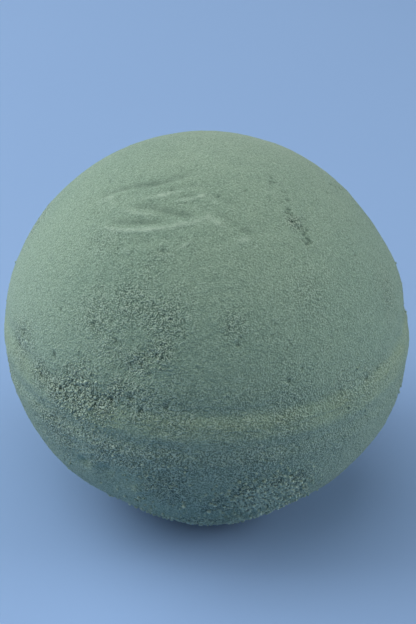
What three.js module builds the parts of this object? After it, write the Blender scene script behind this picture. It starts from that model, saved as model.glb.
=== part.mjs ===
// A floral foam ball: two solid half balls of dry phenolic foam, bonded face to face at the equator.
// The lower one is a true half with a round pressed flat that the ball stands on. The upper one is a
// little smaller and shallower, and sits slightly out of line, so the lower one stands proud of it.
// Millimetres, +Z up, with the origin at the middle of the pressed flat.

import * as THREE from "three";

// Driving dimensions
const UPPER_RADIUS = 60; // radius of the upper half's curved face
const LOWER_RADIUS = 60.5; // radius of the lower half's curved face, which stands proud at the seam
const UPPER_SHALLOWNESS = 4.4; // how much less deep than its own radius the upper half is
const FLAT_RADIUS = 16; // the pressed flat at the base
const GLUE_THICKNESS = 0.2; // the set adhesive between the two joint faces
const GLUE_INSET = 4; // the bare rim between the adhesive's edge and the ball's surface
const UPPER_SHIFT = new THREE.Vector2(-0.75, 0.5); // how far the upper half sits from true, X and Y

// Fineness of the curved faces
const TURN_STEPS = 72;
const ARC_STEPS = 18;

// Worked-out heights above the flat
const lowerFaceHeight = Math.sqrt(LOWER_RADIUS ** 2 - FLAT_RADIUS ** 2);
const upperFaceHeight = lowerFaceHeight + GLUE_THICKNESS;

const foam = new THREE.MeshStandardMaterial({ color: 0x7c9b87, roughness: 1, metalness: 0 });
const adhesive = new THREE.MeshStandardMaterial({ color: 0xd9d6c4, roughness: 0.45, metalness: 0 });

// The part of a circle that bounds a half's profile, from one angle to another, measured from the
// circle's own middle, which is centreHeight above the half's lowest point.
function arc(radius, centreHeight, fromAngle, toAngle) {
  const points = [];
  for (let i = 0; i <= ARC_STEPS; i++) {
    const angle = THREE.MathUtils.lerp(fromAngle, toAngle, i / ARC_STEPS);
    points.push(new THREE.Vector2(radius * Math.cos(angle), centreHeight + radius * Math.sin(angle)));
  }
  return points;
}

// A solid of revolution about +Z from a profile of (distance from the axis, height).
function turned(name, profile, material) {
  const geometry = new THREE.LatheGeometry(profile, TURN_STEPS);
  geometry.rotateX(Math.PI / 2);
  const mesh = new THREE.Mesh(geometry, material);
  mesh.name = name;
  return mesh;
}

// The lower half stands on its flat, and its curve runs from the flat's edge up to the joint face.
function lowerHalf() {
  const flatEdge = -Math.acos(FLAT_RADIUS / LOWER_RADIUS);
  const profile = [
    new THREE.Vector2(0, 0),
    ...arc(LOWER_RADIUS, lowerFaceHeight, flatEdge, 0),
    new THREE.Vector2(0, lowerFaceHeight),
  ];
  profile[1].y = 0;
  return turned("lower_half_ball", profile, foam);
}

// The upper half's curve runs from its joint face up to the top of the ball.
function upperHalf() {
  const rim = Math.asin(UPPER_SHALLOWNESS / UPPER_RADIUS);
  const profile = [
    new THREE.Vector2(0, 0),
    ...arc(UPPER_RADIUS, -UPPER_SHALLOWNESS, rim, Math.PI / 2),
  ];
  profile[1].y = 0;
  profile[profile.length - 1].x = 0;
  const mesh = turned("upper_half_ball", profile, foam);
  mesh.position.set(UPPER_SHIFT.x, UPPER_SHIFT.y, upperFaceHeight);
  return mesh;
}

// The adhesive is a thin disc that stops short of the surface of both halves.
function glueFilm() {
  const radius = UPPER_RADIUS - GLUE_INSET;
  const profile = [
    new THREE.Vector2(0, 0),
    new THREE.Vector2(radius, 0),
    new THREE.Vector2(radius, GLUE_THICKNESS),
    new THREE.Vector2(0, GLUE_THICKNESS),
  ];
  const mesh = turned("glue_film", profile, adhesive);
  mesh.position.set(UPPER_SHIFT.x / 2, UPPER_SHIFT.y / 2, lowerFaceHeight);
  return mesh;
}

const ball = new THREE.Group();
ball.add(lowerHalf(), glueFilm(), upperHalf());

export default ball;
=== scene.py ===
# %% [markdown]
# # A floral foam ball
#
# Dry floral foam is a brittle green plastic froth. A press of the thumb crushes it for good, a rub wears it
# to powder, and the smallest knock tears grains out of it. So a foam ball is never a clean sphere: it is the
# record of everything that has touched it. This ball is made of two half balls glued face to face. The lower
# half stands a little proud of the upper one, and it has been pressed flat where the ball rests.
#
# The CAD frame holds those two halves and the film of glue between them as plain solids. This script keeps
# their sizes and places, gives each half a finely divided skin, and then works that skin as hands, tools and
# tabletops do: creases, pits, torn patches, crumbs. The order is frame, camera, skin, wear, materials, light.

# %% Load the frame
import math

import bpy
import numpy as np
from mathutils import Matrix, Quaternion, Vector, noise


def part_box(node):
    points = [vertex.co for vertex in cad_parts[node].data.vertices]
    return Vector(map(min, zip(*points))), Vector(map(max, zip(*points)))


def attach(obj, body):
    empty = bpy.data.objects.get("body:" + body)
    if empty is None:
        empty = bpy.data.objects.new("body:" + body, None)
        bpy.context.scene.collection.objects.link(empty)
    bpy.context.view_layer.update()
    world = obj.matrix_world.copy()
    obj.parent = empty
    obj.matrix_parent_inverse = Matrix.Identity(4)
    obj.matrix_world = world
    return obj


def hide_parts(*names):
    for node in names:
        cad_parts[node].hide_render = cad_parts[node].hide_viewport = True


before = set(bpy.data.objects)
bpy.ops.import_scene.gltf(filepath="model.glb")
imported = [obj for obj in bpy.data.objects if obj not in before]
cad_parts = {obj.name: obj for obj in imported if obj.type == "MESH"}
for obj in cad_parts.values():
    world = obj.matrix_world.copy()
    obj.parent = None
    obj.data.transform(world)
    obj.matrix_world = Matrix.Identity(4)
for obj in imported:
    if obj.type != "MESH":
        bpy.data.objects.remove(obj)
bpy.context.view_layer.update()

MM = 0.001
print("frame nodes:", sorted(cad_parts))

# %% [markdown]
# ## Measures from the frame
#
# A skin can only fit its solid if it starts from the solid's own numbers. The lower half is half a sphere
# with its middle on the joint face. The upper half is a shallower cap, so its sphere's middle lies below its
# joint face: a cap of height h and rim radius a belongs to a sphere of radius (a² + h²) / 2h. Reading these
# from the node's boxes, rather than typing them again, keeps both models the same if one of them changes.

# %% The two spheres and the joint
lower_low, lower_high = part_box("lower_half_ball")
upper_low, upper_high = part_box("upper_half_ball")
film_low, film_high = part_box("glue_film")

LOWER_RADIUS = (lower_high.x - lower_low.x) / 2
LOWER_CENTRE = np.array((0, 0, lower_high.z))

upper_rim = (upper_high.x - upper_low.x) / 2
upper_depth = upper_high.z - upper_low.z
UPPER_RADIUS = (upper_rim ** 2 + upper_depth ** 2) / (2 * upper_depth)
UPPER_CENTRE = np.array((*((upper_low + upper_high) / 2).xy, upper_high.z - UPPER_RADIUS))

SEAM = (lower_high.z + upper_low.z) / 2
MIDDLE = (LOWER_CENTRE + UPPER_CENTRE) / 2
FILM_RADIUS = (film_high.x - film_low.x) / 2
FILM_CENTRE = (film_low + film_high) / 2
print(f"lower sphere {LOWER_RADIUS / MM:.2f} mm, upper sphere {UPPER_RADIUS / MM:.2f} mm, "
      f"joint at {SEAM / MM:.2f} mm")

# %% [markdown]
# ## Camera
#
# The ball is looked down on from about thirty degrees, through a long lens, so that it nearly fills the
# frame without bulging. The camera is turned a degree and a half about its own line of sight, as a
# hand-held or hastily set camera is. It aims a little above the ball's middle, which leaves more room over
# the ball than under it.

# %% The camera
CAMERA_DISTANCE = 12 * UPPER_RADIUS
CAMERA_HEIGHT_ANGLE = math.radians(31)
CAMERA_ROLL = math.radians(1.5)
CAMERA_LENS = 138.7  # the focal length in mm
CAMERA_NEAR_CLIP = 0.01
AIM_RIGHT = 0.6 * MM
AIM_UP = 4.2 * MM


def add_camera():
    """A long-lens camera in front of the ball, which looks at it along +Y and down."""
    camera = bpy.data.objects.new("camera", bpy.data.cameras.new("camera"))
    camera.data.lens = CAMERA_LENS
    camera.data.clip_start = CAMERA_NEAR_CLIP
    back = Vector((0, -math.cos(CAMERA_HEIGHT_ANGLE), math.sin(CAMERA_HEIGHT_ANGLE)))
    right = Vector((1, 0, 0))
    up = back.cross(right)
    aim = Vector(MIDDLE) + right * AIM_RIGHT + up * AIM_UP
    turn = Matrix((right, up, back)).transposed().to_4x4()
    camera.matrix_world = (Matrix.Translation(aim + back * CAMERA_DISTANCE) @ turn
                           @ Matrix.Rotation(CAMERA_ROLL, 4, "Z"))
    bpy.context.scene.collection.objects.link(camera)
    bpy.context.scene.camera = camera
    return camera


camera = add_camera()
print("camera at", [round(v, 3) for v in camera.matrix_world.translation])

# %% [markdown]
# ## Shader maths as Python
#
# A material is a graph of nodes, and a graph is hard to read as a list of links. Here each output socket is
# wrapped in a Value, whose + - and * add the Math nodes, so that a mask is written as it would be on paper.
# Every node comes from one method, node(), which takes its settings first and then its sockets.

# %% Values
class Value:
    """A number that changes over a surface: the output socket of a shader node."""

    def __init__(self, shader, socket):
        self.shader = shader
        self.socket = socket

    def combine(self, operation, left, right):
        return self.shader.node("Math", {"operation": operation}, {0: left, 1: right})["Value"]

    def __add__(self, other):
        return self.combine("ADD", self, other)

    def __radd__(self, other):
        return self.combine("ADD", other, self)

    def __sub__(self, other):
        return self.combine("SUBTRACT", self, other)

    def __rsub__(self, other):
        return self.combine("SUBTRACT", other, self)

    def __mul__(self, other):
        return self.combine("MULTIPLY", self, other)

    def __rmul__(self, other):
        return self.combine("MULTIPLY", other, self)

    def between(self, start, end):
        """A smooth step from 0 at start to 1 at end. Where start is the larger, the step falls instead."""
        step = self.shader.node("MapRange", {"interpolation_type": "SMOOTHSTEP"},
                                {"Value": self, "From Min": start, "From Max": end})
        return step["Result"]


# %% Shaders
# A Mix node has a pair of inputs for each kind of value, under the same names. These are the colour ones.
MIX_AMOUNT = 0
MIX_FIRST = 6
MIX_SECOND = 7


class Shader:
    """One material, built node by node."""

    def __init__(self, name):
        self.material = bpy.data.materials.new(name)
        self.material.use_nodes = True
        self.tree = self.material.node_tree
        self.tree.nodes.clear()

    def node(self, kind, settings=None, sockets=None):
        """Adds a node, and gives back its outputs by name."""
        node = self.tree.nodes.new("ShaderNode" + kind)
        for setting, value in (settings or {}).items():
            setattr(node, setting, value)
        for socket, value in (sockets or {}).items():
            if isinstance(value, Value):
                self.tree.links.new(value.socket, node.inputs[socket])
            else:
                node.inputs[socket].default_value = value
        return {output.name: Value(self, output) for output in node.outputs if output.enabled}

    def noise(self, size, detail=2.0, roughness=0.5):
        """Noise from 0 to 1 whose lumps are about size metres across."""
        place = self.node("TexCoord")["Object"]
        return self.node("TexNoise", None, {"Vector": place, "Scale": 1 / size, "Detail": detail,
                                            "Roughness": roughness})["Fac"]

    def painted(self, name):
        """The value that the mesh carries under that name."""
        return self.node("Attribute", {"attribute_name": name})["Fac"]

    def mix(self, amount, first, second):
        """The first colour where amount is 0, and the second where it is 1."""
        return self.node("Mix", {"data_type": "RGBA"},
                         {MIX_AMOUNT: amount, MIX_FIRST: first, MIX_SECOND: second})["Result"]

    def finish(self, surface):
        """Joins the shader to the material's output, and gives back the material."""
        self.node("OutputMaterial", None, {"Surface": surface})
        return self.material


# %% [markdown]
# ## Floor
#
# The ball stands on one wide sheet of pale blue paper. It matters to the ball as well: a matt sheet throws
# its own colour up under whatever stands on it, and tints the underside of the foam. The sheet is a single
# square, because nothing about it is seen but its colour.

# %% The floor
FLOOR_HALF_WIDTH = 3.0
PAPER_DRIFT = 0.25
PAPER_BLUE = (0.25, 0.40, 0.665, 1)
PAPER_PALER_BLUE = (0.272, 0.425, 0.695, 1)


def floor_material():
    """Pale blue paper, whose colour drifts very slightly."""
    shader = Shader("pale_paper")
    colour = shader.mix(shader.noise(PAPER_DRIFT), PAPER_BLUE, PAPER_PALER_BLUE)
    paper = shader.node("BsdfPrincipled", None, {"Base Color": colour, "Roughness": 0.8,
                                                 "Specular IOR Level": 0.2})
    return shader.finish(paper["BSDF"])


def add_floor():
    mesh = bpy.data.meshes.new("floor")
    square = ((-1, -1), (1, -1), (1, 1), (-1, 1))
    corners = [(x * FLOOR_HALF_WIDTH, y * FLOOR_HALF_WIDTH, 0) for x, y in square]
    mesh.from_pydata(corners, [], [(0, 1, 2, 3)])
    floor = bpy.data.objects.new("floor", mesh)
    bpy.context.scene.collection.objects.link(floor)
    mesh.materials.append(floor_material())
    print(f"floor {2 * FLOOR_HALF_WIDTH:.0f} m across")


add_floor()

# %% [markdown]
# ## The skin
#
# Foam detail is a millimetre across, so the skin needs points about half a millimetre apart, everywhere. A
# sphere made of meridians would waste most of its points at the pole. A cap made of rings does better: six
# points round the pole, then twelve, then eighteen, so that the spacing stays nearly the same all the way to
# the rim, and the rim itself is one clean circle lying in the joint. The rings lie a little closer together
# towards the rim, because the joint is where the finest detail is.

# %% A cap of rings
RINGS = 178
CROWDING = 0.16


def ring_start(ring):
    """The number of points in the rings before this one, pole included."""
    return 1 + 3 * ring * (ring - 1) if ring else 0


def cap_directions(reach):
    """Directions from the sphere's middle, in rings from the pole at +Z out to the angle reach."""
    directions = [np.array([[0.0, 0.0, 1.0]])]
    for ring in range(1, RINGS + 1):
        share = ring / RINGS
        tilt = reach * share * (1 + CROWDING - CROWDING * share)
        turn = np.arange(6 * ring) * (2 * math.pi / (6 * ring))
        directions.append(np.stack((math.sin(tilt) * np.cos(turn), math.sin(tilt) * np.sin(turn),
                                    np.full(6 * ring, math.cos(tilt))), axis=1))
    return np.concatenate(directions)


def cap_triangles():
    """The triangles between each ring and the next: six sectors, each one point longer outside."""
    triangles = []
    for ring in range(1, RINGS + 1):
        inner, outer = ring - 1, ring
        for sector in range(6):
            outside = ring_start(outer) + (sector * outer + np.arange(outer + 1)) % (6 * outer)
            inside = ring_start(inner) + (sector * inner + np.arange(inner + 1)) % max(6 * inner, 1)
            triangles.append(np.stack((inside, outside[:-1], outside[1:]), axis=1))
            triangles.append(np.stack((inside[:-1], outside[1:-1], inside[1:]), axis=1))
    return np.concatenate(triangles)


TRIANGLES = cap_triangles()
RIM = np.arange(ring_start(RINGS), ring_start(RINGS + 1))
print(f"{len(TRIANGLES)} triangles in each cap")

# %% [markdown]
# ## Places on the ball
#
# Wear is easiest to place as a map maker would. Longitude 0 faces the viewer and grows to the viewer's
# right, and latitude grows upwards from the joint. Distances are measured along the surface, from the ball's
# own middle, so that a mark can run across the joint without a break.

# %% Distances over the surface
BALL_RADIUS = (LOWER_RADIUS + UPPER_RADIUS) / 2
CURVE_STEP = 0.5 * MM
print(f"a degree over the surface is {math.radians(1) * BALL_RADIUS / MM:.2f} mm")


def toward(longitude, latitude):
    """The direction from the ball's middle to a place, both angles in degrees."""
    east, north = math.radians(longitude), math.radians(latitude)
    return np.array((math.cos(north) * math.sin(east), -math.cos(north) * math.cos(east), math.sin(north)))


def away_from(directions, place):
    """How far each direction's point is from a place, along the surface, in metres."""
    return BALL_RADIUS * np.arccos(np.clip(directions @ toward(*place), -1, 1))


def curve_through(places):
    """A smooth run of directions near the given places, and how far along it each one is, from 0 to 1."""
    knots = np.array([toward(*place) for place in places])
    lengths = np.linalg.norm(np.diff(knots, axis=0), axis=1)
    at = np.concatenate(([0], np.cumsum(lengths))) / lengths.sum()
    along = np.linspace(0, 1, max(4, int(lengths.sum() * BALL_RADIUS / CURVE_STEP)))
    bend = np.polyfit(at, knots, min(2, len(places) - 1))
    run = sum(part[None, :] * along[:, None] ** power for power, part in enumerate(bend[::-1]))
    return run / np.linalg.norm(run, axis=1, keepdims=True), along


def away_from_curve(directions, places):
    """For each direction: how far its point is from the curve, which side, and how far along it."""
    run, along = curve_through(places)
    nearness = directions @ run.T
    nearest = nearness.argmax(axis=1)
    distance = BALL_RADIUS * np.arccos(np.clip(nearness[np.arange(len(directions)), nearest], -1, 1))
    higher = np.sign(directions[:, 2] - run[nearest, 2])
    return distance, higher, along[nearest]


# %% Noise over the surface
# Each seed moves the noise by this much, in lumps, so that no two uses of it look alike.
LUMP_SHIFT = (7.3, 3.1, 5.7)
GRAIN_SHIFT = (2.9, 6.1, 4.3)
# How steeply a grain rises from the crack round it.
GRAIN_STEEPNESS = 2.2


def lumps(points, size, seed, octaves=1):
    """Smooth noise from about -1 to 1 at each point, with lumps about size metres across."""
    shift = Vector([part * seed for part in LUMP_SHIFT])
    return np.array([noise.fractal(Vector(point) + shift, 1.0, 2.0, octaves) for point in points / size])


def crumbled(points, size, seed):
    """Grains about size metres across: 1 in the middle of each grain, 0 in the cracks between them."""
    shift = Vector([part * seed for part in GRAIN_SHIFT])
    nearest = [noise.voronoi(Vector(point) + shift)[0][:2] for point in points / size]
    return np.clip([GRAIN_STEEPNESS * (second - first) for first, second in nearest], 0, 1)


# %% Two profiles
def bell(distance, width):
    """1 in the middle, and nearly nothing from twice the width on."""
    return np.exp(-(distance / width) ** 2)


def ramp(distance, end):
    """1 at nothing and 0 from end on, smooth at both."""
    share = np.clip(distance / end, 0, 1)
    return 1 - share * share * (3 - 2 * share)


# %% [markdown]
# ## Wear, one kind at a time
#
# Each kind of wear is a function that gives the height, in metres, that it adds to or takes from the
# surface at every point. Heights simply add up, which makes each kind easy to judge by itself: leave all
# the others out and look. Small heights are enough, because foam has no shine and shows its relief by shade
# alone: the deepest crease here goes down about a quarter of a millimetre.
#
# The creases come first: long shallow folds, where a finger or a wrapper dragged over the dry skin.

# %% Creases
# Each one: the places it runs by (longitude and latitude), its depth and its width in mm.
CREASES = [
    ([(-72, 54), (-66, 62), (-50, 70)], 0.20, 1.0),
    ([(-62, 59), (-50, 68), (-36, 76), (0, 80)], 0.22, 1.1),
    ([(-57, 59), (-45, 67), (-27, 72), (4, 75)], 0.2, 1.0),
    ([(-28, 68), (-15, 70), (-2, 73)], 0.24, 0.7),
    ([(-56, 59), (-36, 62), (-24, 63), (-10, 63)], 0.22, 1.1),
    ([(-56, 52), (-34, 57), (-20, 61), (-4, 64)], 0.26, 1.1),
    ([(-48, 46), (-28, 52), (-10, 57)], 0.12, 1.0),
    ([(-10, 68), (8, 63), (24, 55)], 0.16, 1.2),
    ([(-8, 73), (8, 70), (26, 63)], 0.14, 1.1),
    ([(0, 51), (15, 57), (34, 55)], 0.10, 1.2),
    ([(-23, 50), (-16, 51)], 0.26, 0.6),
    ([(-14, 53), (-9, 56)], 0.20, 0.6),
    ([(118, 40), (135, 52), (150, 58)], 0.24, 1.2),
    ([(125, 34), (140, 44), (158, 48)], 0.22, 1.1),
    ([(-150, 20), (-138, 28), (-120, 30)], 0.20, 1.2),
]
# In widths of the crease: how far its upper slope, its steep side and its crest spread, and how far below
# the groove the crest lies.
SLOPE_SPREAD = 2.4
STEEP_SPREAD = 0.9
CREST_SPREAD = 1.1
CREST_BELOW = 2.0
# A crease fades towards both its ends, but no further over this share of its length.
CREASE_TIP = 0.02
print(len(CREASES), "creases")


def creases(directions):
    """Each fold is a soft slope down to a groove, then a steep rise to a crest nearer the joint."""
    height = np.zeros(len(directions))
    for places, depth, width in CREASES:
        distance, higher, along = away_from_curve(directions, places)
        fade = np.sin(math.pi * np.clip(along, CREASE_TIP, 1 - CREASE_TIP)) ** 0.5
        uphill = distance * higher
        slope = bell(uphill, np.where(uphill > 0, SLOPE_SPREAD, STEEP_SPREAD) * width * MM)
        crest = bell(uphill + CREST_BELOW * width * MM, CREST_SPREAD * width * MM)
        height += depth * MM * fade * (crest - slope)
    return height


# %% [markdown]
# ## Brushed arcs
#
# Someone has rubbed the ball with a circling thumb, which leaves fine scratches that bend round one place.
# Drawing them one by one would take hundreds. Noise does it in one go, if it is looked up by the distance
# from that place and hardly changes along the arc, so that every lump is drawn out into a scratch.

# %% Brushed arcs
RUBBED_ABOUT = (6, 35)
RUB_REACH = 48 * MM
SCRATCH_WIDTH = 1.9 * MM
SCRATCH_HEIGHT = 0.10 * MM
SCRATCH_CHANGE = 0.09


def brushed(directions):
    distance = away_from(directions, RUBBED_ABOUT)
    across = np.cross(toward(*RUBBED_ABOUT), (0, 0, 1))
    bearing = directions @ (across / np.linalg.norm(across))
    arcs = np.stack((distance, SCRATCH_CHANGE * bearing * BALL_RADIUS, 0 * distance), axis=1)
    scratches = lumps(arcs, SCRATCH_WIDTH, seed=51, octaves=2)
    return SCRATCH_HEIGHT * scratches * ramp(distance, RUB_REACH)


# %% [markdown]
# ## Pits
#
# A knock breaks single grains out of the skin, and something sharp that is dragged over it leaves a trail of
# small holes. The larger pits are listed one by one. The trails stray at random from a listed curve, and
# other small pits are scattered anywhere. Overlapping pits join into one hole, no deeper than the deepest.

# %% Pits
# Each one: its place, its radius and its depth in mm.
PITS = [
    ((64, 69), 0.6, 0.5), ((71, 65), 0.5, 0.4), ((33, 71), 0.6, 0.4), ((67, 38), 0.5, 0.5),
    ((88, 54), 0.5, 0.5), ((10, 26), 0.6, 0.5), ((11, 28), 0.4, 0.4), ((-36, 26), 0.7, 0.5),
    ((29, 17), 0.5, 0.4), ((-65, 52), 0.5, 0.4), ((-63, 53), 0.5, 0.4), ((-66, 7), 1.1, 0.5),
    ((-63, 12), 0.9, 0.5), ((-47, 13), 0.9, 0.5), ((-51, 5), 0.9, 0.5), ((-26, 7), 0.8, 0.6),
    ((-20, 9), 0.9, 0.6), ((-17, 6), 0.8, 0.6), ((-10, 8), 0.7, 0.5), ((41, 7), 0.7, 0.35),
    ((52, 6), 0.8, 0.4), ((58, 6), 0.6, 0.35), ((-30, 5), 0.8, 0.5), ((-39, 8), 0.8, 0.5),
]
# Trails of small pits, left by something dragged: places, how many, and their stray and depth in mm.
TRAILS = [
    ([(50, 61), (50, 56), (48, 49)], 30, 0.8, 0.75), ([(67, 69), (60, 66), (54, 62)], 10, 1.2, 0.5),
    ([(24, 33), (22, 28), (25, 22)], 10, 2.5, 0.4), ([(-30, 38), (-20, 30), (-10, 33)], 16, 5.0, 0.4),
    ([(-26, 24), (-16, 19), (-8, 25)], 16, 1.8, 0.3), ([(-46, 47), (-20, 49)], 8, 3.0, 0.3),
    ([(100, 50), (112, 42)], 14, 1.5, 0.6), ([(-130, 40), (-112, 48)], 16, 2.0, 0.6),
]
TRAIL_RADII = (0.35, 0.55)
TRAIL_DEPTH_SHARES = (0.6, 1.2)
SCATTERED_PITS = 90
SCATTERED_RADII = (0.35, 0.6)
SCATTERED_DEPTHS = (0.15, 0.5)
# How ragged a pit's edge is, in lumps of what size, and how many radii from its middle a pit ends.
PIT_RAGGEDNESS = 0.5
PIT_LUMPS = 0.9 * MM
PIT_END = 3
print(len(PITS), "placed pits,", len(TRAILS), "trails and", SCATTERED_PITS, "scattered pits")


def pits(directions, points):
    draw = np.random.default_rng(seed=7)
    chosen = [(toward(*place), radius, depth) for place, radius, depth in PITS]
    for places, count, stray, depth in TRAILS:
        run, _ = curve_through(places)
        for _ in range(count):
            spot = run[draw.integers(len(run))] + draw.normal(size=3) * stray * MM / BALL_RADIUS
            radius = draw.uniform(*TRAIL_RADII)
            chosen.append((spot / np.linalg.norm(spot), radius, depth * draw.uniform(*TRAIL_DEPTH_SHARES)))
    for _ in range(SCATTERED_PITS):
        spot = draw.normal(size=3)
        radius = draw.uniform(*SCATTERED_RADII)
        chosen.append((spot / np.linalg.norm(spot), radius, draw.uniform(*SCATTERED_DEPTHS)))
    ragged = 1 + PIT_RAGGEDNESS * lumps(points, PIT_LUMPS, seed=12)
    height = np.zeros(len(directions))
    for spot, radius, depth in chosen:
        near = directions @ spot > math.cos(PIT_END * radius * MM / BALL_RADIUS)
        distance = BALL_RADIUS * np.arccos(np.clip(directions[near] @ spot, -1, 1))
        height[near] = np.minimum(height[near], -depth * MM * bell(distance * ragged[near], radius * MM))
    return height


# %% [markdown]
# ## Torn and granular patches
#
# Where the smooth skin is gone, the foam shows its open grain, most of all along the joint, where the ball
# was rubbed hardest. In places it has broken further, into coarse grains that stand by themselves. Both are
# made as a strength from 0 to 1 all over the ball, which scales one common grain. The material needs the
# same two strengths for its colour, so they are stored on the mesh later on.

# %% Torn, granular and pressed patches
# Where the skin is gone and the fine open grain shows: place, radius in mm and strength.
TORN = [
    ((-36, 6), 8, 1.0), ((-43, 3), 6, 0.95), ((-29, 5), 5, 1.0), ((-25, 11), 4, 0.8), ((-51, 5), 5, 0.7),
    ((-17, 9), 7, 0.5), ((-8, 7), 9, 0.4), ((-20, 19), 4, 0.7), ((-13, 23), 4, 0.7), ((-14, 32), 7, 0.5),
    ((-25, 34), 8, 0.45), ((-36, 28), 7, 0.4), ((-28, 20), 6, 0.35), ((-48, 48), 5, 0.2),
    ((-19, 49), 4, 0.12), ((49, 56), 2.5, 0.7), ((43, 6), 6, 0.3), ((52, 5), 6, 0.3), ((62, 5), 6, 0.2),
    ((9, 31), 4, 0.35), ((37, 36), 6, 0.2), ((8, 6), 9, 0.3), ((24, 6), 9, 0.35), ((-64, 9), 7, 0.5),
    ((-10, -22), 8, 0.6), ((-26, -12), 9, 0.55), ((-10, -11), 11, 0.4), ((12, -10), 11, 0.3),
    ((-44, -8), 9, 0.5), ((100, 6), 10, 0.7), ((165, 8), 9, 0.8), ((-125, 5), 9, 0.7), ((-100, 30), 8, 0.4),
    ((150, 40), 8, 0.4), ((-145, -12), 9, 0.5), ((75, 22), 7, 0.35), ((-80, -12), 10, 0.5),
]
# Where the foam has broken into coarse grains instead, each standing by itself: the same three values.
GRANULAR = [
    ((22, -23), 8, 1.0), ((13, -24), 7, 1.0), ((29, -20), 6, 0.8), ((20, -31), 8, 1.0), ((30, -28), 6, 0.9),
    ((4, -29), 8, 0.8), ((34, -9), 6, 0.45), ((0, -48), 14, 0.8), ((26, -44), 12, 0.7), ((-25, -45), 10, 0.5),
    ((130, -18), 12, 0.8), ((-160, -30), 12, 0.8), ((75, -30), 9, 0.6), ((-100, -35), 10, 0.6),
]
# Where a fingertip has pressed the grain flat again: the same three values.
PRESSED = [
    ((-25, -20), 5, 0.9), ((-37, -18), 3, 0.8), ((-42, 19), 6, 0.7), ((-30, 15), 5, 0.7),
    ((60, -14), 12, 0.5),
]
# Nobody's hand has smoothed the underside: all of it is a little granular, from this far below the joint.
UNDERSIDE_ROUGHNESS = 0.35
UNDERSIDE_START = 9 * MM
# How ragged a patch's edge is, in lumps of what size, how flat its middle is, and where it is cut off.
PATCH_RAGGEDNESS = 0.4
PATCH_LUMPS = 4.5 * MM
PATCH_GAIN = 1.4
PATCH_CUT = 0.1
print(len(TORN), "torn,", len(GRANULAR), "granular and", len(PRESSED), "pressed patches")


def patchy(directions, points, patches, seed):
    """How strongly each point lies in one of the patches, from 0 to 1, with ragged edges to each patch."""
    amount = np.zeros(len(directions))
    ragged = 1 + PATCH_RAGGEDNESS * lumps(points, PATCH_LUMPS, seed, octaves=3)
    for place, radius, strength in patches:
        distance = away_from(directions, place) * ragged
        shape = np.clip(PATCH_GAIN * bell(distance, radius * MM) - PATCH_CUT, 0, 1)
        amount = np.maximum(amount, strength * shape)
    return amount


# %% Grain
# Broad, coarse and fine grain: lump size in mm, octaves, height in mm on sound skin and where it is open.
GRAINS = [(3.6, 2, 0.05, 0.12), (1.7, 1, 0.04, 0.14), (0.9, 1, 0.045, 0.30)]
# Open foam also breaks along cracks, into grains of this size and height, in mm.
CRACKED_SIZE = 1.1
CRACKED_HEIGHT = 0.18
CRACKED_LEVEL = 0.6
# How far a torn place and a granular place open the grain.
TORN_OPENING = 1.1
GRANULAR_OPENING = 0.8


def grain_relief(points, torn, granular):
    """Fine pores and grains, deeper where the skin is torn or granular."""
    sound = np.zeros(len(points))
    opened = np.zeros(len(points))
    for seed, (size, octaves, sound_height, open_height) in enumerate(GRAINS, start=20):
        grain = lumps(points, size * MM, seed, octaves)
        sound += sound_height * grain
        opened += open_height * grain
    opened += CRACKED_HEIGHT * (crumbled(points, CRACKED_SIZE * MM, seed=23) - CRACKED_LEVEL)
    return MM * (sound + (TORN_OPENING * torn + GRANULAR_OPENING * granular) * opened)


# %% [markdown]
# ## Dents
#
# Foam keeps every squeeze, so the ball is not quite round. A few broad dents, swellings and prints of
# fingertips are listed one by one, and a very low noise keeps what is between them from being a true sphere.

# %% Dents and unevenness
# Each one: its place, its radius and its height in mm, which is below 0 for a dent.
DENTS = [
    ((-28, -32), 12, -0.6), ((-37, -19), 1.7, -1.3), ((-34, -19), 1.3, 0.6), ((-29, -19), 2.3, -1.3),
    ((-24, -22), 4.2, -0.9), ((-20, -25), 1.5, 1.0), ((-44, -16), 3.0, 0.3), ((25, -42), 14, -0.6),
    ((-16, 22), 2.4, -0.6), ((-21, 17), 2.8, -0.6), ((-11, 21), 3.6, 0.4), ((-30, 14), 5.0, 0.4),
    ((-36, 7), 7.0, -0.2), ((170, -25), 12, -0.7), ((120, 20), 9, -0.35), ((-90, -20), 8, -0.4),
    ((-41, -52), 13, -1.7), ((-20, -57), 7, -0.9), ((46, -48), 10, -0.5), ((98, 14), 12, 0.9),
    ((76, -21), 12, 0.7),
]
# The unevenness of the whole ball: lump size and height in mm.
UNEVENNESS = [(34, 0.22), (9, 0.10)]
print(len(DENTS), "dents and swellings")


def dents(directions, points):
    height = np.zeros(len(directions))
    for seed, (size, rise) in enumerate(UNEVENNESS, start=31):
        height += rise * MM * lumps(points, size * MM, seed, octaves=2)
    for place, radius, rise in DENTS:
        height += rise * MM * bell(away_from(directions, place), radius * MM)
    return height


# %% [markdown]
# ## The joint
#
# The halves were pressed together wet with glue and rubbed down afterwards. Foam soaked with glue is harder
# than dry foam, so it wears less and is left standing as a soft, yellowish ridge along the joint, with a
# shallow worn hollow above it. Both skins run to one common line, the bond. The lower half is larger, and
# out of line with the upper one, so the ridge stands highest above the upper half at the front and on the
# right. Below it the lower half dips a little and swells once more, faintly, where the rubbing ended.

# %% The bond line
# Where the bond lies between the bare rims of the upper half (0) and the lower half (1).
BOND_SHARE = 0.7
BOND_WEAR = 0.15 * MM
# How the wear varies along the bond: lump size in mm and strength.
BOND_VARIATION = [(12, 1.0), (2.2, 0.7)]


def rim_distance(bearings, centre, radius):
    """How far from the ball's own axis a bare half's rim is, toward each bearing (unit vectors in XY)."""
    rim_radius = math.sqrt(radius ** 2 - (SEAM - centre[2]) ** 2)
    offset = (centre - MIDDLE)[:2]
    ahead = bearings @ offset
    return ahead + np.sqrt(rim_radius ** 2 - offset @ offset + ahead ** 2)


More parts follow.
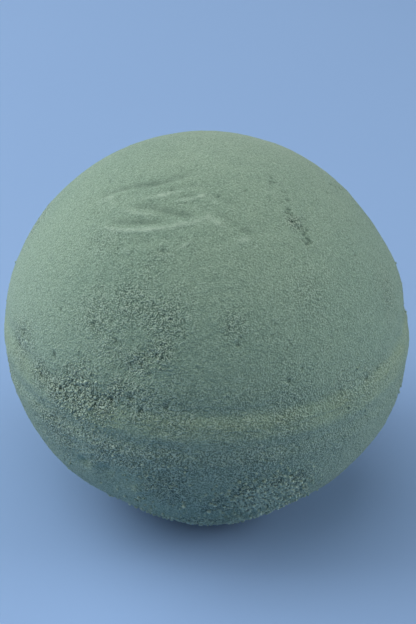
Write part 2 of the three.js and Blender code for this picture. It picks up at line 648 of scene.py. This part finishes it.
def bond_distance(bearings):
    """How far from the ball's own axis the two worn halves meet, toward each bearing."""
    on_rim = np.column_stack((bearings * BALL_RADIUS, np.zeros(len(bearings))))
    variation = np.ones(len(bearings))
    for seed, (size, strength) in enumerate(BOND_VARIATION, start=41):
        variation += strength * lumps(on_rim, size * MM, seed, octaves=2)
    lower_rim = rim_distance(bearings, LOWER_CENTRE, LOWER_RADIUS)
    upper_rim = rim_distance(bearings, UPPER_CENTRE, UPPER_RADIUS)
    return BOND_SHARE * lower_rim + (1 - BOND_SHARE) * upper_rim - BOND_WEAR * variation


# %% The ridge and the hollow
# How far above and below the joint each skin starts to run to the bond.
UPPER_REACH = 4.5 * MM
LOWER_REACH = 4.0 * MM
# Bands that follow the joint: how far from it, width and height in mm. Above it there is the hollow, and
# below it the ridge's crest, a dip and a second swelling.
UPPER_BANDS = [(5.0, 2.8, -0.30)]
LOWER_BANDS = [(2.5, 1.8, 0.12), (7.0, 2.4, -0.25), (11.5, 2.2, 0.22)]
BAND_LUMPS = 12 * MM
# The glue's tint: how far above the joint its middle lies and how wide it is, in mm, and how strong it is.
TINT_ABOVE = 1.0
TINT_WIDTH = 3.2
TINT_STRENGTH = 0.8
TINT_VARIATION = 0.9
TINT_LUMPS = 8 * MM


def joint_wear(points, bearings, centre, radius):
    """How the skin runs to the bond, and the bands that follow the joint on this half."""
    reach, bands = (UPPER_REACH, UPPER_BANDS) if centre is UPPER_CENTRE else (LOWER_REACH, LOWER_BANDS)
    step = bond_distance(bearings) - rim_distance(bearings, centre, radius)
    from_joint = np.abs(points[:, 2] - SEAM)
    uneven = 1 + lumps(points, BAND_LUMPS, seed=43, octaves=3)
    wear = sum(height * MM * bell(from_joint - away * MM, width * MM) for away, width, height in bands)
    return step * ramp(from_joint, reach) + uneven * wear


def worn_tint(points):
    """How much of the yellowish glue has soaked into the skin: along the joint, more in some places."""
    above = (points[:, 2] - SEAM) / MM
    uneven = lumps(points, TINT_LUMPS, seed=44, octaves=3)
    return np.clip(bell(above - TINT_ABOVE, TINT_WIDTH) * (TINT_STRENGTH + TINT_VARIATION * uneven), 0, 1)


# %% [markdown]
# ## From a cap to a half ball
#
# The skin's heights are applied along the line from the sphere's middle. The flat under the ball is pressed
# last, as on a table: whatever reaches below the floor is pushed up to it. The rim is drawn to the bond line,
# and past it the skin turns in over the bare foam, steps down to the glue film's edge and closes over the
# joint face. What the material needs to know, such as where the grain is torn or how much painted shade a
# point gets from lying deep in a pore, is stored on the mesh as named values.

# %% The skin of one half
# A recess this deep gets the full painted shade, and gaps between grains get more painted shade by these
# shares.
FULL_SHADE_DEPTH = 0.4 * MM
TORN_GAP_SHADE = 0.2
GRANULAR_GAP_SHADE = 0.9
NEARLY_NOTHING = 1e-6


def skin_of_half(centre, radius, pole):
    """The worn skin around the sphere's middle, with its pole up (1) or down (-1), and its named values."""
    reach = math.acos(pole * (SEAM - centre[2]) / radius)
    caps = cap_directions(reach) * (1, 1, pole)
    points = centre + radius * caps
    directions = points - MIDDLE
    directions /= np.linalg.norm(directions, axis=1, keepdims=True)
    flat = np.linalg.norm(directions[:, :2], axis=1, keepdims=True)
    bearings = directions[:, :2] / np.maximum(flat, NEARLY_NOTHING)
    torn = patchy(directions, points, TORN, seed=11)
    underside = 1 - ramp(np.maximum(SEAM - points[:, 2], 0), UNDERSIDE_START)
    granular = np.maximum(patchy(directions, points, GRANULAR, seed=13), UNDERSIDE_ROUGHNESS * underside)
    open_share = 1 - patchy(directions, points, PRESSED, seed=14)
    torn, granular = torn * open_share, granular * open_share
    marks = creases(directions) + pits(directions, points) + brushed(directions)
    grain = grain_relief(points, torn, granular)
    height = dents(directions, points) + joint_wear(points, bearings, centre, radius) + grain + marks
    shaped = centre + (radius + height)[:, None] * caps
    shaped[RIM, :2] = MIDDLE[:2] + bearings[RIM] * bond_distance(bearings[RIM])[:, None]
    shaped[RIM, 2] = SEAM
    shaped[:, 2] = np.maximum(shaped[:, 2], 0)
    # Painted shade and highlight: the deeper a point lies in a pit, crease or pore, or between torn grains,
    # the darker its colour, and raised points get a paler colour, a painted highlight.
    gap_shade = TORN_GAP_SHADE * np.clip(2 * torn - 1, 0, 1) + GRANULAR_GAP_SHADE * np.clip(2 * granular - 1, 0, 1)
    painted_shade_and_paleness = np.clip(gap_shade - (grain + marks) / FULL_SHADE_DEPTH, -1, 1)
    return shaped, {"torn": torn, "granular": granular, "painted_shade_and_paleness": painted_shade_and_paleness, "worn": worn_tint(points)}


# %% The joint face
# How far outside the film's edge the skin's turned-in edge ends, and how far outside it the step stands.
EDGE_GAP = 0.5 * MM
STEP_GAP = 0.1 * MM


def close_joint(shaped, node):
    """Adds the turned-in edge, the step at the film and the joint face: all the points and faces."""
    low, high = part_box(node)
    face = high.z if low.z < SEAM / 2 else low.z
    outward = shaped[RIM, :2] - FILM_CENTRE.xy[:]
    outward /= np.linalg.norm(outward, axis=1, keepdims=True)
    count = len(RIM)
    rings = [RIM]
    extra = []
    for gap, level in ((EDGE_GAP, SEAM), (STEP_GAP, SEAM), (STEP_GAP, face)):
        ring = np.full((count, 3), level)
        ring[:, :2] = np.array(FILM_CENTRE.xy) + outward * (FILM_RADIUS + gap)
        rings.append(len(shaped) + len(extra) * count + np.arange(count))
        extra.append(ring)
    hub = len(shaped) + 3 * count
    extra.append(np.array([[FILM_CENTRE.x, FILM_CENTRE.y, face]]))
    faces = [TRIANGLES]
    for outer, inner in zip(rings, rings[1:]):
        ahead_outer, ahead_inner = np.roll(outer, -1), np.roll(inner, -1)
        faces.append(np.stack((outer, inner, ahead_inner), axis=1))
        faces.append(np.stack((outer, ahead_inner, ahead_outer), axis=1))
    faces.append(np.stack((rings[-1], np.full(count, hub), np.roll(rings[-1], -1)), axis=1))
    return np.concatenate([shaped, *extra]), np.concatenate(faces)


# %% Both halves
def store(mesh, values, count):
    """Stores each named value on the mesh's points, with 0 on the points past the last one given."""
    for label, numbers in values.items():
        padded = np.zeros(count, np.float32)
        padded[:len(numbers)] = numbers
        mesh.attributes.new(label, "FLOAT", "POINT").data.foreach_set("value", padded)


def sharpen_rim(mesh):
    """Keeps the turned-in edge out of the smooth shading of the skin."""
    ends = np.empty(2 * len(mesh.edges), np.int32)
    mesh.edges.foreach_get("vertices", ends)
    on_rim = (ends >= RIM[0]).reshape(-1, 2).all(axis=1)
    mesh.attributes.new("sharp_edge", "BOOLEAN", "EDGE").data.foreach_set("value", on_rim)


def add_half(name, node, centre, radius, pole):
    shaped, values = skin_of_half(centre, radius, pole)
    points, faces = close_joint(shaped, node)
    mesh = bpy.data.meshes.new(name)
    mesh.from_pydata(points, [], faces if pole > 0 else faces[:, ::-1])
    store(mesh, values, len(points))
    mesh.shade_smooth()
    sharpen_rim(mesh)
    half = bpy.data.objects.new(name, mesh)
    bpy.context.scene.collection.objects.link(half)
    print(f"{name}: {len(faces)} triangles")
    return half, shaped, values


lower, lower_skin, lower_values = add_half("lower_foam", "lower_half_ball", LOWER_CENTRE, LOWER_RADIUS, -1)
upper, upper_skin, upper_values = add_half("upper_foam", "upper_half_ball", UPPER_CENTRE, UPPER_RADIUS, 1)

# %% [markdown]
# ## Clinging crumbs
#
# A dry foam ball is never clean: grains that broke off still cling where the skin is torn, and round the
# underside, where they give the outline its furry edge. Each crumb is an icosahedron knocked out of shape,
# sunk part of its depth into the skin. They are one piece, because nothing tells one crumb from the next.
# Those that cling to sound skin are powdered over, so they are less pale than the ones on broken skin.

# %% Where the crumbs cling
# Each group: its middle, its spread in mm, how many crumbs, and their usual radius in mm.
CRUMBS_ABOUT = [
    ((-36, 5), 7, 480, 0.26), ((-28, 6), 6, 140, 0.26), ((-15, 21), 4, 60, 0.24), ((22, -24), 7, 320, 0.38),
    ((13, -25), 7, 200, 0.38), ((28, -26), 6, 150, 0.38), ((19, -32), 8, 240, 0.4), ((0, -54), 17, 640, 0.4),
    ((22, -50), 11, 240, 0.4), ((-14, -18), 8, 160, 0.28), ((46, 6), 7, 40, 0.26), ((110, -2), 14, 220, 0.3),
    ((-112, -2), 14, 200, 0.3), ((170, -5), 22, 340, 0.34), ((120, -42), 24, 380, 0.38),
    ((-120, -42), 24, 380, 0.38),
]
# Crumb radii vary by this much about the usual one, within these limits in mm.
CRUMB_VARIATION = 0.28
CRUMB_RADII = (0.18, 0.65)
# How far each axis and each corner of a crumb is stretched, and how many radii its middle is out of the skin.
AXIS_STRETCH = (0.7, 1.25)
CORNER_STRETCH = (0.8, 1.2)
CRUMB_LIFT = (-0.15, 0.5)
# No crumb grows below this height on the ball, and none reaches below the second one.
CRUMBS_FROM = 1.2 * MM
CRUMB_CLEARANCE = 0.05 * MM
# How pale crumbs are, on broken skin, and how much of that is left on sound skin.
CRUMB_PALENESS = (0.6, 1.3)
SOUND_PALENESS = 0.3
CRUMB_TORN = 0.15


# %% One crumb
def crumb_shape():
    """The twelve corners and twenty faces of an icosahedron of radius 1."""
    golden = (1 + math.sqrt(5)) / 2
    corners = [(0, a, b * golden) for a in (-1, 1) for b in (-1, 1)]
    corners += [(a, b * golden, 0) for a in (-1, 1) for b in (-1, 1)]
    corners += [(b * golden, 0, a) for a in (-1, 1) for b in (-1, 1)]
    corners = np.array(corners, float)
    longest_side = 2.1  # neighbouring corners are 2 apart, and any others at least 3
    faces = []
    for i in range(12):
        for j in range(i + 1, 12):
            for k in range(j + 1, 12):
                sides = [np.linalg.norm(corners[p] - corners[q]) for p, q in ((i, j), (j, k), (i, k))]
                if max(sides) < longest_side:
                    outward = np.cross(corners[j] - corners[i], corners[k] - corners[i]) @ corners[i] > 0
                    faces.append((i, j, k) if outward else (i, k, j))
    return corners / np.linalg.norm(corners[0]), np.array(faces)


# %% All the crumbs
def add_crumbs():
    draw = np.random.default_rng(seed=19)
    skin = np.concatenate((lower_skin[:RIM[0]], upper_skin[:RIM[0]]))
    broken = np.concatenate([np.maximum(values["torn"], values["granular"])[:RIM[0]]
                             for values in (lower_values, upper_values)])
    directions = skin - MIDDLE
    directions /= np.linalg.norm(directions, axis=1, keepdims=True)
    corners, faces = crumb_shape()
    places = []
    sizes = []
    for place, spread, count, radius in CRUMBS_ABOUT:
        chance = bell(away_from(directions, place), spread * MM) * (skin[:, 2] > CRUMBS_FROM)
        places.append(draw.choice(len(skin), count, replace=False, p=chance / chance.sum()))
        sizes.append(MM * np.clip(draw.lognormal(math.log(radius), CRUMB_VARIATION, count), *CRUMB_RADII))
    places, kept = np.unique(np.concatenate(places), return_index=True)
    size = np.concatenate(sizes)[kept]
    count = len(places)
    stretch = draw.uniform(*AXIS_STRETCH, (count, 1, 3)) * draw.uniform(*CORNER_STRETCH, (count, 12, 1))
    turns = np.array([Quaternion(draw.normal(size=4)).normalized().to_matrix() for _ in range(count)])
    shapes = np.einsum("nij,nkj->nki", turns, corners * stretch) * size[:, None, None]
    lift = size * draw.uniform(*CRUMB_LIFT, count)
    shapes += (skin[places] + directions[places] * lift[:, None])[:, None]
    shapes[..., 2] = np.maximum(shapes[..., 2], CRUMB_CLEARANCE)
    mesh = bpy.data.meshes.new("clinging_crumbs")
    mesh.from_pydata(shapes.reshape(-1, 3), [],
                     (faces[None] + 12 * np.arange(count)[:, None, None]).reshape(-1, 3))
    fresh = SOUND_PALENESS + (1 - SOUND_PALENESS) * broken[places]
    paleness = np.repeat(draw.uniform(*CRUMB_PALENESS, count) * fresh, 12)
    # The crumbs' own paleness is stored as a negative amount of the value that carries painted shade and
    # highlight on the skin.
    store(mesh, {"torn": np.full(12 * count, CRUMB_TORN), "painted_shade_and_paleness": -paleness}, 12 * count)
    mesh.shade_smooth()
    crumbs = bpy.data.objects.new("clinging_crumbs", mesh)
    bpy.context.scene.collection.objects.link(crumbs)
    print(f"{count} crumbs, {20 * count} triangles")
    return crumbs


crumbs = add_crumbs()

# %% [markdown]
# ## Foam
#
# Dry foam is a greyish sage green, without any shine, and a little paler at glancing angles because its
# surface is a felt of broken cell walls. The felt's pores are darker and its grains paler. On top of that,
# the mesh's recesses, its pits, creases and the gaps between grains, get painted shade by how deep they lie,
# and its raised grain and crests get a painted highlight. Where glue has soaked in along the joint, the foam
# is yellower. The felt itself, half a millimetre from pore to pore, is finer than the mesh, so it is made
# here by noise, in both colour and bump.
#
# The colour is laid on in coats, from the tone of the whole ball to the finest pores. Each coat is a mask
# from 0 to 1, times how strongly it covers.

# %% Foam colours and sizes
FOAM_GREEN = (0.23, 0.345, 0.264, 1)
FOAM_PALER_GREEN = (0.255, 0.37, 0.28, 1)
FOAM_DULL_GREEN = (0.15, 0.24, 0.19, 1)
GLUE_YELLOW = (0.29, 0.37, 0.21, 1)
# The dark colour is the pores' own and also the painted shade in recesses. The pale one is the grains' own
# and also the painted highlight on raised relief and the crumbs' paleness.
DARK_PORE_AND_SHADE = (0.06, 0.11, 0.085, 1)
PALE_GRAIN_AND_HIGHLIGHT = (0.52, 0.67, 0.55, 1)
FELT_SHEEN = (0.9, 1.0, 0.92, 1)

TONE_SIZE = 30 * MM
MOTTLE_SIZE = 2.6 * MM
COARSE_SIZE = 2.0 * MM
CELL_SIZE = 0.9 * MM
FELT_SIZE = 0.45 * MM
FELT_DEPTH = 0.45 * MM

# How strongly each coat covers.
GLUE_COVER = 0.36
MOTTLE_COVER = 0.2
FELT_COVER = 0.33
CELL_COVER = 0.12
TORN_CELL_COVER = 0.5
# Painted shade in recesses, then painted highlight on raised relief together with the crumbs' paleness.
PAINTED_SHADE_COVER = 0.7
CREST_HIGHLIGHT_AND_CRUMB_COVER = 0.8
TORN_FELT_COVER = 0.9
# How much a granular place counts as torn, for its colour and bump.
GRANULAR_SHARE = 0.85
# How high the felt, the cells and the coarse lumps stand in the bump, and how much higher where it's torn.
SOUND_RELIEF = 0.8
TORN_RELIEF = 1.3
CELL_RELIEF = 0.9
COARSE_RELIEF = 0.4


# %% Foam material
def foam_colour(shader, felt, cells, rough):
    """The foam's colour: its tone, the glue, the mottle, pores and grains dark and pale, and the painted
    shade in recesses and painted highlight on raised relief.
    """
    tone = shader.noise(TONE_SIZE, detail=3)
    mottle = shader.noise(MOTTLE_SIZE, detail=2)
    painted_shade_and_paleness = shader.painted("painted_shade_and_paleness")
    cell_cover = rough * TORN_CELL_COVER + CELL_COVER
    colour = shader.mix(tone.between(0.35, 0.65), FOAM_GREEN, FOAM_PALER_GREEN)
    colour = shader.mix(shader.painted("worn") * GLUE_COVER, colour, GLUE_YELLOW)
    colour = shader.mix(mottle.between(0.6, 0.3) * MOTTLE_COVER, colour, FOAM_DULL_GREEN)
    colour = shader.mix(felt.between(0.5, 0.3) * FELT_COVER, colour, DARK_PORE_AND_SHADE)
    colour = shader.mix(cells.between(0.45, 0.3) * cell_cover, colour, DARK_PORE_AND_SHADE)
    colour = shader.mix(felt.between(0.5, 0.72) * FELT_COVER, colour, PALE_GRAIN_AND_HIGHLIGHT)
    # Painted shade: the deeper a point lies in the relief, the darker.
    colour = shader.mix(painted_shade_and_paleness.between(0.1, 1.1) * PAINTED_SHADE_COVER, colour, DARK_PORE_AND_SHADE)
    # Painted highlight on raised relief, and the crumbs' own paleness.
    colour = shader.mix((0 - painted_shade_and_paleness).between(0.1, 1.0) * CREST_HIGHLIGHT_AND_CRUMB_COVER, colour, PALE_GRAIN_AND_HIGHLIGHT)
    colour = shader.mix(felt.between(0.5, 0.36) * rough * TORN_FELT_COVER, colour, DARK_PORE_AND_SHADE)
    return shader.mix(felt.between(0.5, 0.62) * rough, colour, PALE_GRAIN_AND_HIGHLIGHT)


def foam_material():
    """Matt green foam, with a felt of fine pores that stands higher where the skin is torn."""
    shader = Shader("dry_foam")
    rough = shader.painted("torn") + shader.painted("granular") * GRANULAR_SHARE
    felt = shader.noise(FELT_SIZE, detail=1)
    cells = shader.noise(CELL_SIZE, detail=2, roughness=0.6)
    coarse = shader.noise(COARSE_SIZE, detail=2)
    height = (felt + cells * CELL_RELIEF) * (rough * TORN_RELIEF + SOUND_RELIEF) + coarse * COARSE_RELIEF
    bump = shader.node("Bump", None, {"Strength": 1.0, "Distance": FELT_DEPTH, "Height": height})
    foam = shader.node("BsdfPrincipled", None, {
        "Base Color": foam_colour(shader, felt, cells, rough), "Roughness": 0.95,
        "Specular IOR Level": 0.12, "Sheen Weight": 0.2, "Sheen Roughness": 0.5,
        "Sheen Tint": FELT_SHEEN, "Normal": bump["Normal"]})
    return shader.finish(foam["BSDF"])


foam = foam_material()
for half, node in ((lower, "lower_half_ball"), (upper, "upper_half_ball")):
    half.data.materials.append(foam)
    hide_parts(node)
    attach(half, "root")
crumbs.data.materials.append(foam)
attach(crumbs, "root")
print("foam nodes:", len(foam.node_tree.nodes))

# %% [markdown]
# ## The glue film
#
# The set adhesive is a thin pale disc between the halves, and none of it shows. It stays the frame's own
# solid, since its shape is already true, and only gets a finish: blotchy, cream-coloured, a little shiny.

# %% The glue film
GLUE_BLOTCHES = 6 * MM
GLUE_DEPTH = 0.2 * MM
GLUE_CREAM = (0.62, 0.60, 0.48, 1)
GLUE_PALER_CREAM = (0.74, 0.72, 0.62, 1)


def glue_material():
    """Set adhesive, which is paler and less shiny in blotches."""
    shader = Shader("set_glue")
    blotch = shader.noise(GLUE_BLOTCHES, detail=3)
    colour = shader.mix(blotch.between(0.4, 0.6), GLUE_CREAM, GLUE_PALER_CREAM)
    bump = shader.node("Bump", None, {"Strength": 0.3, "Distance": GLUE_DEPTH, "Height": blotch})
    glue = shader.node("BsdfPrincipled", None, {"Base Color": colour, "Roughness": 0.4 + blotch * 0.2,
                                                "Normal": bump["Normal"]})
    return shader.finish(glue["BSDF"])


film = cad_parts["glue_film"]
film.data.materials.clear()
film.data.materials.append(glue_material())
print("glue film", round(2 * FILM_RADIUS / MM, 1), "mm across")

# %% [markdown]
# ## Light
#
# Six softboxes of the same size stand at the same distance round the ball, as in a small light tent: one
# overhead, one high and one low on the left, one behind the left shoulder that draws the outline out of the
# background, one low on the right, and one over the camera. The low ones rake across the joint and the
# underside, where foam shows its grain best. What else lights the underside is the floor, and a weak white
# room all round keeps the shadow from going black.

# %% Lights
SOFTBOX_WIDTH = 0.8
SOFTBOX_DISTANCE = 1.2
ROOM_STRENGTH = 0.07
# Each softbox: its name, its longitude and latitude as seen from the ball, and its watts.
SOFTBOXES = [("overhead", 0, 89, 2.9), ("high_left", -90, 55, 4.4), ("low_left", -90, 20, 5.3),
             ("behind_left", -135, 20, 5.9), ("low_right", 90, 20, 7.6), ("front_high", -15, 55, 3.1)]


def add_softbox(name, longitude, latitude, watts):
    light = bpy.data.objects.new(name, bpy.data.lights.new(name, "AREA"))
    light.data.size = SOFTBOX_WIDTH
    light.data.energy = watts
    toward_light = Vector(toward(longitude, latitude))
    light.location = Vector(MIDDLE) + toward_light * SOFTBOX_DISTANCE
    light.rotation_euler = toward_light.to_track_quat("Z", "Y").to_euler()
    bpy.context.scene.collection.objects.link(light)


for softbox in SOFTBOXES:
    add_softbox(*softbox)

world = bpy.data.worlds.new("room")
bpy.context.scene.world = world
world.use_nodes = True
background = world.node_tree.nodes["Background"]
background.inputs["Color"].default_value = (1, 1, 1, 1)
background.inputs["Strength"].default_value = ROOM_STRENGTH
bpy.context.scene.view_settings.view_transform = "Standard"
print(len(SOFTBOXES), "softboxes,", round(sum(watts for *_, watts in SOFTBOXES), 1), "W in all")
